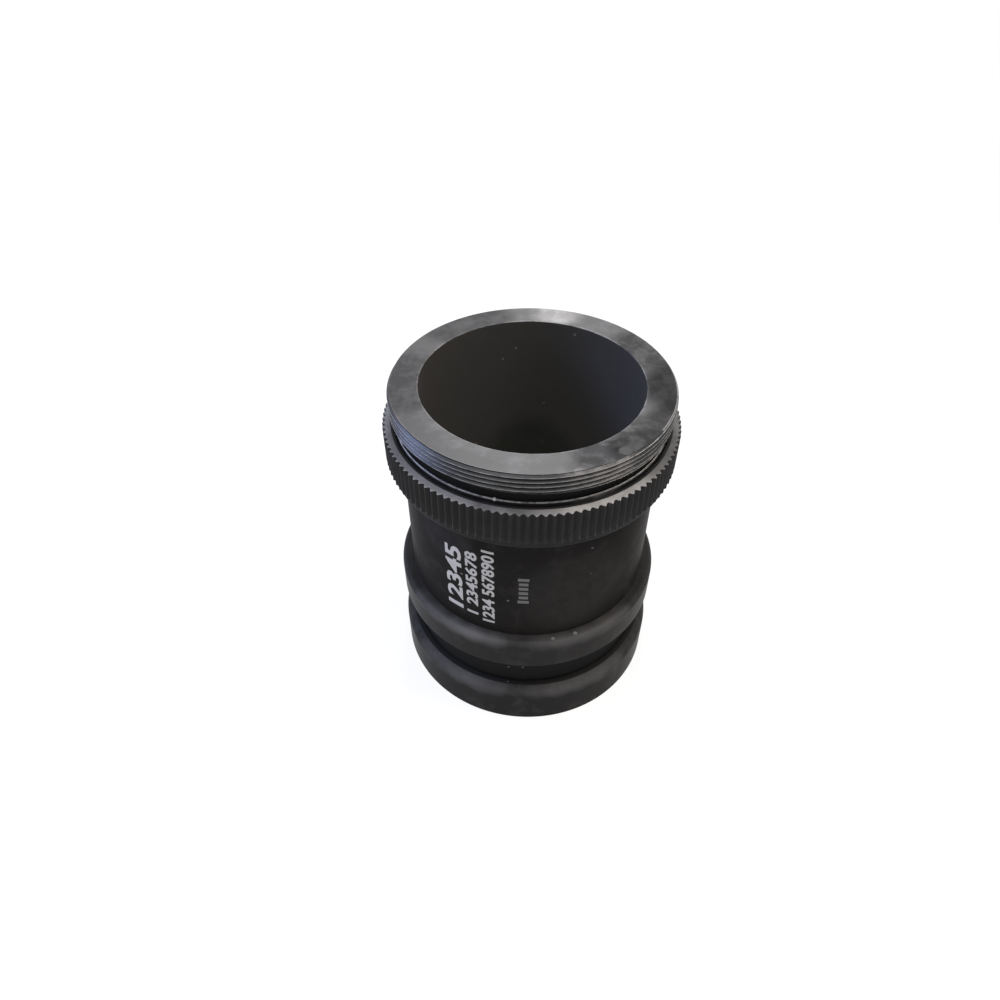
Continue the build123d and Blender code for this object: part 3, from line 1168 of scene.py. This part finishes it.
@dataclass
class GripRing:
    """The serrated clamp ring, one sector of which is repeated round the axis."""

    teeth: int = 120
    tooth_depth: float = 0.45
    wall: float = 0.6  # behind the teeth
    rim: float = 0.8  # plain rim below the teeth
    lip: float = 1.0  # thickness of the lip over the nose's flange
    lip_radius: float = 20.55  # inside that lip
    slope: float = 0.25  # height over which a tooth rises from the rim
    bevel: float = 0.12  # height of the bevel at the teeth's upper ends
    bright_radius: float = 21.0  # from which, outwards, the upper face takes its lighter finish: partly wear, partly painted light from above

    # A tooth across its pitch: where its corners lie, and how far they stand out.
    TOOTH_PLACE = (-0.5, -0.40, -0.08, 0.0, 0.08, 0.40, 0.5)
    TOOTH_RISE = (0.0, 0.05, 0.93, 1.0, 0.93, 0.05, 0.0)
    BEVELLED = 1.5  # bevels from the teeth's roots inward to where the upper face is plain

    def sector(self) -> Piece:
        """Build one tooth with the slice of ring behind it, open at both sides.

        Returns:
            The slice, with 1 for top_face on its upper walls.
        """
        bottom, top = node_heights("grip_ring")
        root = node_radius("grip_ring") - self.tooth_depth
        bore = root - self.wall
        teeth_start = bottom + self.rim
        columns = len(self.TOOTH_PLACE)
        rings = TurnedMesh("sector", columns).section([
            Corner(bore, bottom),
            Corner(root, bottom, 0.15, 2),
            Corner(root, teeth_start),
            Corner(root, teeth_start + self.slope),
            Corner(root, top - self.bevel, face=Face.TOP),
            Corner(root - self.bevel, top, face=Face.TOP),
            Corner(self.bright_radius, top),
            Corner(self.lip_radius, top, 0.1, 2),
            Corner(self.lip_radius, top - self.lip),
            Corner(bore, top - self.lip),
        ]).rings
        bevelled = root - self.BEVELLED * self.bevel
        rise = np.array(self.TOOTH_RISE) * self.tooth_depth
        angles = np.array(self.TOOTH_PLACE) * TURN / self.teeth
        points, edges, walls, on_top = [], [], [], []
        for row, ring in enumerate(rings):
            height, radius = ring.height[0], ring.radius
            toothed = radius[0] > bevelled and height > teeth_start + FLAT_SUPPORT
            crest = toothed and height < top - self.bevel / 2
            radius = radius + rise if toothed else radius
            points += [(r * math.cos(a), r * math.sin(a), height) for r, a in zip(radius, angles)]
            edges += [share if crest else ring.edge for share in self.TOOTH_RISE]
            here, after = row * columns, (row + 1) % len(rings) * columns
            walls += [(here + i, here + i + 1, after + i + 1, after + i) for i in range(columns - 1)]
            on_top += [float(ring.face is Face.TOP)] * (columns - 1)
        faces = [Face.OUTER.value] * len(walls)
        sector = closed_mesh("sector", np.array(points) * MM, walls, faces, np.array(edges), weld=False)
        mark = sector.data.attributes.new(TOP_ATTRIBUTE, "FLOAT", "FACE")
        mark.data.foreach_set("value", np.array(on_top, dtype=np.float32))
        return sector

    def build(self, wardrobe: Wardrobe) -> None:
        """Repeat the sector round the axis and dress the ring.

        Args:
            wardrobe: The adapter's materials.
        """
        # The walls of the upper face take the lighter top finish with its painted highlight and shade.
        piece = polar_array_tree().run(
            self.sector(), "grip_ring_piece", Count=self.teeth, Weld=SEAM_WELD,
            Material=wardrobe.material(GRIP_FINISH), TopMaterial=wardrobe.material(GRIP_TOP_LIT_FINISH),
        )
        seat(piece, "clamp", Slot.ANODISED, "grip_ring")


@dataclass
class Barrel:
    """The plain tube that carries the print, with its collar, flange, neck, foot and stepped bore."""

    radius: float = 19.8
    collar_radius: float = 21.1  # outside of the clamp thread's collar
    collar_length: float = 3.55
    flange_bottom: float = 14.9  # height of the flange's underside
    flange_height: float = 5.7
    flange_round: float = 0.9  # round of the flange's upper edge
    snap_bottom: float = 6.0  # height of the snap ring's groove
    snap_height: float = 0.8
    snap_depth: float = 0.65
    socket_radius: float = 18.25  # bore that takes the nose's stem
    socket_bottom: float = 26.5  # height of that bore's step
    baffle_radius: float = 17.1  # bore that takes the baffle
    baffle_step: float = 12.0  # height of that bore's step
    rabbet_radius: float = 18.43  # of the gasket's rabbet
    rabbet_top: float = 5.4  # height of the rabbet's seat

    def build(self, wardrobe: Wardrobe) -> None:
        """Build the tube and dress it.

        Args:
            wardrobe: The adapter's materials.
        """
        bottom, top = node_heights("barrel")
        bore = mount_radius("light_bore")
        flange = node_radius("barrel")
        flange_top = self.flange_bottom + self.flange_height
        snap_floor = self.radius - self.snap_depth
        snap_top = self.snap_bottom + self.snap_height
        collar = top - self.collar_length
        piece = TurnedMesh("barrel_piece").section([
            Corner(self.baffle_radius, self.rabbet_top, face=Face.INNER),
            Corner(self.rabbet_radius, self.rabbet_top, face=Face.INNER),
            Corner(self.rabbet_radius, bottom, 0.05, 2),
            Corner(self.radius, bottom, 0.15),
            Corner(self.radius, self.snap_bottom),
            Corner(snap_floor, self.snap_bottom),
            Corner(snap_floor, snap_top),
            Corner(self.radius, snap_top, face=Face.GROOVE),
            Corner(self.radius, self.flange_bottom, 0.25, face=Face.GROOVE),
            Corner(flange, self.flange_bottom, 0.22, face=Face.TOP),
            Corner(flange, flange_top, self.flange_round, 8, Face.TOP),
            Corner(self.radius, flange_top, 0.15),
            Corner(self.radius, collar),
            Corner(self.collar_radius, collar, 0.1),
            Corner(self.collar_radius, top, 0.2),
            Corner(self.socket_radius, top, 0.1),
            Corner(self.socket_radius, self.socket_bottom),
            Corner(bore, self.socket_bottom, 0.1, 3, Face.INNER),
            Corner(bore, self.baffle_step, face=Face.INNER),
            Corner(self.baffle_radius, self.baffle_step, face=Face.INNER),
        ]).build()
        # The neck below the flange takes painted shade; the flange takes its own finish with painted
        # highlights along its upper round.
        wardrobe.dress(piece, BARREL_FINISH, INNER=BORE_FINISH, GROOVE=GROOVE_SHADE_FINISH, TOP=FLANGE_FINISH)
        seat(piece, "barrel", Slot.ANODISED, "barrel")


@dataclass
class CouplingRing:
    """The captive ring at the telescope end, with a full round upper edge and the port thread."""

    upper_round: float = 2.0
    foot_round: float = 0.3
    lip_radius: float = 19.85  # inside the lip that runs on the barrel
    lip: float = 1.35  # thickness of that lip
    relief_radius: float = 20.9  # of the run-out above the thread
    thread_depth: float = 4.8

    def build(self, wardrobe: Wardrobe) -> None:
        """Build the ring with its helical thread and dress it.

        Args:
            wardrobe: The adapter's materials.
        """
        bottom, top = node_heights("coupling_ring")
        outside = node_radius("coupling_ring")
        thread = Thread(mount_radius("telescope_thread"), bottom, bottom + self.thread_depth, Hand.FEMALE,
                        depth=0.4, lead_start=0.4, lead_end=0.12)
        piece = TurnedMesh("coupling_ring_piece").section([
            Corner(outside, bottom, self.foot_round, 4),
            Corner(outside, top, self.upper_round, 14, Face.TOP),
            Corner(self.lip_radius, top, 0.1),
            Corner(self.lip_radius, top - self.lip, 0.1),
            Corner(self.relief_radius, top - self.lip),
            Corner(self.relief_radius, thread.end, thread=thread),
        ]).build()
        # The inner part of the upper round takes the groove's painted shade; the thread's valleys keep the
        # ring's own finish.
        wardrobe.dress(piece, COUPLING_FINISH, TOP=GROOVE_SHADE_FINISH, GROOVE=COUPLING_FINISH)
        seat(piece, "coupling", Slot.ANODISED, "coupling_ring")


@dataclass
class LightBaffle:
    """The knife-edged light stop in the lower bore and the slotted ring that holds it."""

    aperture: float = 14.5  # radius of the light stop's opening
    retainer_wall: float = 1.5
    slot_width: float = 1.6  # of the retainer's two slots
    slot_depth: float = 0.9
    cutter_reach: float = 2.2  # length of what cuts them, in radii of the ring

    def build(self, wardrobe: Wardrobe) -> None:
        """Build both rings and dress them.

        Args:
            wardrobe: The adapter's materials.
        """
        for ring, node in ((self._stop(), "baffle_ring"), (self._retainer(), "baffle_retainer")):
            wardrobe.dress(ring, BAFFLE_FINISH)
            seat(ring, "barrel", Slot.MATT, node)

    def _stop(self) -> Piece:
        """Build the light stop.

        Returns:
            The ring.
        """
        bottom, top = node_heights("baffle_ring")
        outside = node_radius("baffle_ring")
        return TurnedMesh("baffle_ring_piece", AROUND_INNER).section([
            Corner(self.aperture + top - bottom, bottom),
            Corner(outside, bottom, 0.08),
            Corner(outside, top, 0.08),
            Corner(self.aperture, top, 0.02, 2),
        ]).build()

    def _retainer(self) -> Piece:
        """Build the retainer and cut its two slots across.

        Returns:
            The ring.
        """
        node = "baffle_retainer"
        outside, (bottom, _) = node_radius(node), node_heights(node)
        ring = plain_ring(node, outside - self.retainer_wall, (0.1, 0.15))
        size = (self.cutter_reach * outside, self.slot_width, 2 * self.slot_depth)
        cutter = box_mesh("slot_cutter", size, bottom)
        cut = ring.modifiers.new("slots", "BOOLEAN")
        cut.operation, cut.solver, cut.object = "DIFFERENCE", "EXACT", cutter
        piece = plain_copy(ring, f"{node}_piece")
        bpy.data.objects.remove(cutter)
        return piece


@dataclass
class RunningParts:
    """The small parts on which the rings run and seat: washer, snap ring and gasket."""

    washer_inside: float = 18.25  # radius
    snap_inside: float = 19.18  # radius
    snap_opening: float = 5.0  # width of the snap ring's gap
    gasket_inside: float = 17.1  # radius

    def build(self, wardrobe: Wardrobe) -> None:
        """Build the three parts and dress them.

        Args:
            wardrobe: The adapter's materials.
        """
        for node, inside, bevel, opening, finish, slot in (
            ("friction_washer", self.washer_inside, 0.06, 0.0, WASHER_FINISH, Slot.WASHER),
            ("snap_ring", self.snap_inside, 0.12, self.snap_opening, SPRING_FINISH, Slot.SPRING),
            ("seat_gasket", self.gasket_inside, 0.18, 0.0, RUBBER_FINISH, Slot.RUBBER),
        ):
            piece = plain_ring(node, inside, (bevel, bevel), opening)
            wardrobe.dress(piece, finish)
            seat(piece, "barrel", slot, node)


@dataclass(frozen=True)
class NumberLine:
    """A line of plain numbers that reads up the barrel."""

    name: str
    text: str
    azimuth: float  # degrees from the front to its middle
    middle: float  # height of its middle
    length: float
    size: float  # height of the figures
    bold: float = 0.0  # how much the strokes are thickened


@dataclass(frozen=True)
class RuledScale:
    """A plain ruled scale that runs up the barrel."""

    name: str
    azimuth: float  # degrees from the front
    middle: float  # height of its middle
    count: int  # how many ticks
    pitch: float  # from tick to tick
    width: float  # length of a short tick
    line: float  # thickness of a tick
    every: int  # which ticks are longer
    longer: float  # how many times as long they are


@dataclass
class BarrelPrint:
    """The print on the barrel: plain numbers and a ruled scale in place of lettering."""

    radius: float = 19.8  # outside of the barrel
    sunk: float = 0.006  # how deep the ink starts in the barrel
    proud: float = 0.018  # how far it stands out
    bend_step: float = 0.5  # longest stretch of a figure that stays flat
    curve_steps: int = 4  # steps along each curve of a figure

    LINES = (
        NumberLine("print_large_numbers", "12345", -33.3, 30.5, 13.6, 3.0, 0.16),
        NumberLine("print_first_numbers", "1 2345678", -24.2, 30.6, 14.0, 2.05, 0.12),
        NumberLine("print_second_numbers", "1234 5678901", -16.4, 30.8, 16.2, 2.05, 0.12),
    )
    SCALES = (RuledScale("print_index", -0.9, 31.3, 6, 1.0, 1.4, 0.62, 5, 1.2),)

    def build(self, wardrobe: Wardrobe) -> None:
        """Print every line and scale on the barrel.

        Args:
            wardrobe: The adapter's materials.
        """
        wrap, rule = wrap_on_barrel_tree(), scale_ticks_tree()
        flat = [(line, self._figures(line), line.middle, INK_FINISH) for line in self.LINES]
        for scale in self.SCALES:
            tick = box_mesh("tick", (scale.width, scale.line, self.sunk + self.proud),
                            (self.proud - self.sunk) / 2)
            ticks = rule.run(tick, "ticks", Count=scale.count, Pitch=scale.pitch * MM, Every=scale.every,
                             Long=scale.longer, Material=wardrobe.material(FAINT_INK_FINISH))
            base = scale.middle - scale.pitch * (scale.count - 1) / 2
            flat.append((scale, ticks, base, FAINT_INK_FINISH))
        for item, shape, base, ink in flat:
            piece = wrap.run(shape, item.name, Radius=self.radius * MM, Azimuth=math.radians(item.azimuth),
                             Base=base * MM, Material=wardrobe.material(ink))
            wardrobe.dress(piece, ink)
            seat(piece, "barrel", Slot.ANODISED)

    def _figures(self, line: NumberLine) -> Piece:
        """Set one line of numbers flat, turned to read upwards, as thin closed slabs.

        Args:
            line: The line.

        Returns:
            The slabs.
        """
        curve = bpy.data.curves.new(line.name, "FONT")
        curve.body, curve.size, curve.offset = line.text, line.size, line.bold / 2
        curve.resolution_u, curve.extrude = self.curve_steps, (self.sunk + self.proud) / 2
        figures = plain_copy(linked(line.name, curve), line.name)
        mesh = figures.data
        points = np.empty(len(mesh.vertices) * 3)
        mesh.vertices.foreach_get("co", points)
        points = points.reshape(-1, 3)
        low, high = points.min(0), points.max(0)
        share = (points - (low + high) / 2) / (high - low)
        flat = np.stack([-share[:, 1] * line.size, share[:, 0] * line.length,
                         points[:, 2] + (self.proud - self.sunk) / 2], 1) * MM
        mesh.vertices.foreach_set("co", flat.ravel())
        work = bmesh.new()
        work.from_mesh(mesh)
        bmesh.ops.remove_doubles(work, verts=work.verts, dist=WELD)
        cuts = int(line.size / self.bend_step)
        for index in range(1, cuts):
            place = (index / cuts - 0.5) * line.size * MM
            everything = [*work.verts, *work.edges, *work.faces]
            bmesh.ops.bisect_plane(work, geom=everything, plane_co=(place, 0, 0), plane_no=(1, 0, 0))
        bmesh.ops.recalc_face_normals(work, faces=work.faces)
        written(work, mesh)
        return figures


# Studio, sizes in metres


@dataclass(frozen=True)
class Softbox:
    """A rectangular lamp that faces the adapter."""

    name: str
    place: Triple
    size: tuple[float, float]  # width and height
    power: float  # watts
    colour: Colour = (1.0, 1.0, 1.0)


@dataclass
class Studio:
    """A pale floor, soft lamps, a white surround and the camera at the photograph's angle."""

    floor_radius: float = 2.0
    floor_sides: int = 96
    floor_colour: float = 0.80  # grey level
    floor_glow: float = 0.84  # how much of its white is seen unshaded near the adapter
    floor_fade: tuple[float, float] = (0.10, 0.35)  # distances over which it turns plain white
    ambient: float = 0.30  # strength of the light from all round
    lamps: tuple[Softbox, ...] = (
        Softbox("top_softbox", (0.02, -0.06, 0.50), (0.60, 0.28), 3.2),
        Softbox("back_softbox", (0.0, 0.35, 0.42), (0.11, 0.26), 1.0),
        Softbox("left_softbox", (-0.40, 0.06, 0.31), (0.20, 0.20), 1.6, (0.42, 0.54, 1.0)),
        Softbox("right_softbox", (0.24, -0.04, 0.46), (0.11, 0.11), 0.9, (1.0, 0.84, 0.70)),
    )
    aim: Triple = (0.0, 0.0, 0.03)  # where the lamps point
    camera_place: Triple = (0.0, -0.090507, 0.116957)
    camera_turn: Triple = (2.994, -43.52, -0.30)  # yaw, pitch and roll, in degrees
    focal_length: float = 26.97  # mm
    sensor_width: float = 36.0  # mm
    nearest_seen: float = 0.005

    def build(self) -> None:
        """Set up the floor, the lamps, the surround and the camera."""
        bpy.context.scene.view_settings.view_transform = "Standard"
        self._floor()
        self._surround()
        for lamp in self.lamps:
            self._lamp(lamp)
        self._camera()

    @staticmethod
    def _seen(desk: NodeDesk) -> Socket:
        """Find the rays that show the background: camera, glossy and transmission.

        Args:
            desk: The tree of the material or the world.

        Returns:
            A socket that is 1 for those rays.
        """
        rays = desk.add("ShaderNodeLightPath").outputs
        seen = desk.math("MAXIMUM", rays["Is Camera Ray"], rays["Is Glossy Ray"])
        return desk.math("MAXIMUM", seen, rays["Is Transmission Ray"])

    @staticmethod
    def _show(desk: NodeDesk, share: Socket, plain: bpy.types.Node, white: bpy.types.Node) -> Socket:
        """Mix two shaders and return the result."""
        mixed = {0: share, 1: plain.outputs[0], 2: white.outputs[0]}
        return desk.add("ShaderNodeMixShader", mixed).outputs[0]

    def _floor(self) -> None:
        """Lay a round, plain pale floor."""
        work = bmesh.new()
        bmesh.ops.create_circle(work, cap_ends=True, segments=self.floor_sides, radius=self.floor_radius)
        floor = linked("floor", written(work, bpy.data.meshes.new("floor")))
        material = bpy.data.materials.new("pale_floor")
        material.use_nodes = True
        desk = NodeDesk(material.node_tree)
        matt = desk.fill(desk.tree.nodes["Principled BSDF"], {
            "Base Color": grey(self.floor_colour), "Roughness": 1.0, "Specular IOR Level": 0.0,
        })
        away = desk.measure("LENGTH", desk.add("ShaderNodeTexCoord").outputs["Object"])
        glow = desk.remap(away, *self.floor_fade, self.floor_glow, 1.0)
        share = desk.math("MULTIPLY", self._seen(desk), glow)
        mixed = self._show(desk, share, matt, desk.add("ShaderNodeEmission"))
        desk.fill(desk.tree.nodes["Material Output"], {"Surface": mixed})
        floor.data.materials.append(material)

    def _surround(self) -> None:
        """Make the world white where it is seen, and a plain grey light elsewhere."""
        world = bpy.data.worlds.new("surround")
        world.use_nodes = True
        desk = NodeDesk(world.node_tree)
        dim = desk.fill(desk.tree.nodes["Background"], {"Color": grey(1.0), "Strength": self.ambient})
        white = desk.add("ShaderNodeBackground", {"Color": grey(1.0)})
        mixed = self._show(desk, self._seen(desk), dim, white)
        desk.fill(desk.tree.nodes["World Output"], {"Surface": mixed})
        bpy.context.scene.world = world

    def _lamp(self, lamp: Softbox) -> None:
        """Hang one softbox that faces the adapter.

        Args:
            lamp: Its place, size, power and colour.
        """
        light = bpy.data.lights.new(lamp.name, "AREA")
        light.shape = "RECTANGLE"
        light.size, light.size_y = lamp.size
        light.energy, light.color = lamp.power, lamp.colour
        holder = linked(lamp.name, light)
        holder.location = lamp.place
        toward = Vector(self.aim) - Vector(lamp.place)
        holder.rotation_euler = toward.to_track_quat("-Z", "Y").to_euler()

    def _camera(self) -> None:
        """Set the camera where the photograph was taken from."""
        yaw, pitch, roll = (math.radians(angle) for angle in self.camera_turn)
        camera = bpy.data.cameras.new("camera")
        camera.sensor_width, camera.lens = self.sensor_width, self.focal_length
        camera.clip_start = self.nearest_seen
        holder = linked("camera", camera)
        turn = Matrix.Rotation(yaw, 4, "Z") @ Matrix.Rotation(math.pi / 2 + pitch, 4, "X")
        holder.matrix_world = Matrix.Translation(self.camera_place) @ turn @ Matrix.Rotation(roll, 4, "Z")
        bpy.context.scene.camera = holder


def main() -> None:
    """Build the studio and every sub-assembly in order, and report the pieces."""
    logging.basicConfig(level=logging.INFO, format="%(message)s")
    wardrobe = Wardrobe()
    Studio().build()
    for assembly in (CameraNose(), GripRing(), Barrel(), BarrelPrint(), CouplingRing(), LightBaffle(),
                     RunningParts()):
        assembly.build(wardrobe)


if __name__ == "__main__":
    main()
